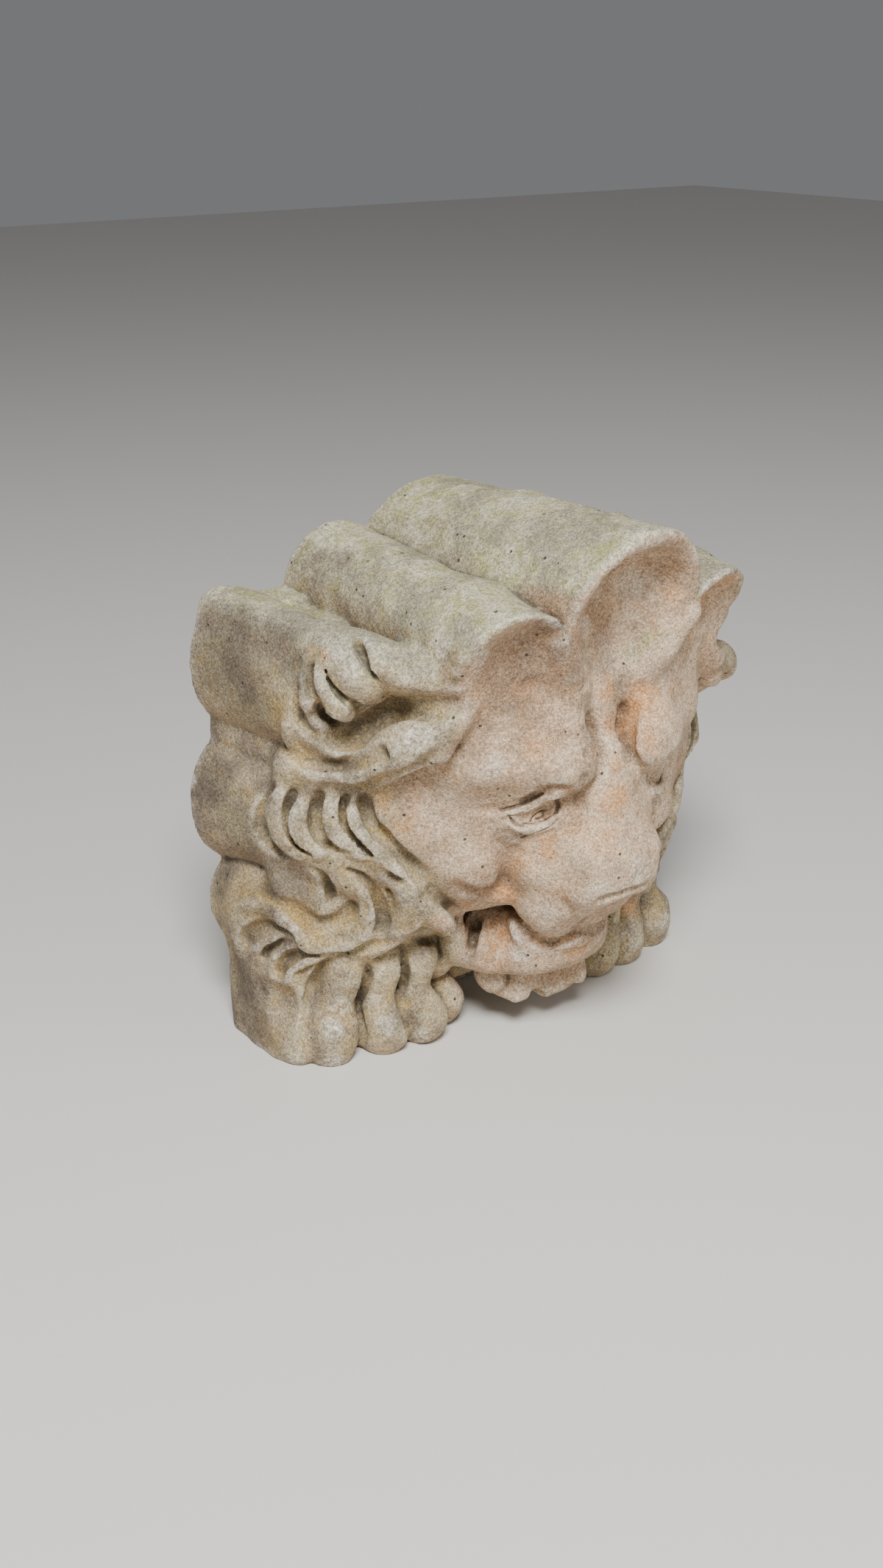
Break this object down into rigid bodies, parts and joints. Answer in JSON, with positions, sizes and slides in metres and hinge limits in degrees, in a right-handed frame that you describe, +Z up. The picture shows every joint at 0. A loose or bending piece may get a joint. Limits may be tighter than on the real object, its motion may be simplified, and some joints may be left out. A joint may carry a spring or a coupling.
{
  "type": "stone gargoyle corbel",
  "caption": "Cast stone lion's head resting between its two paws under a canopy of shell rolls, with a flat back and a flat foot.",
  "frame": {"origin": "on the plane that it stands on, under the middle of its outline from above", "axes": "+Z up, the face looks along -Y, the flat back faces +Y, and X runs across, with the left and right halves alike"},
  "size_m": [0.276, 0.163, 0.26],
  "materials": {
    "stone": "rough and weathered"
  },
  "bodies": {
    "root": {"gargoyle": "stone"}
  },
  "joints": []
}
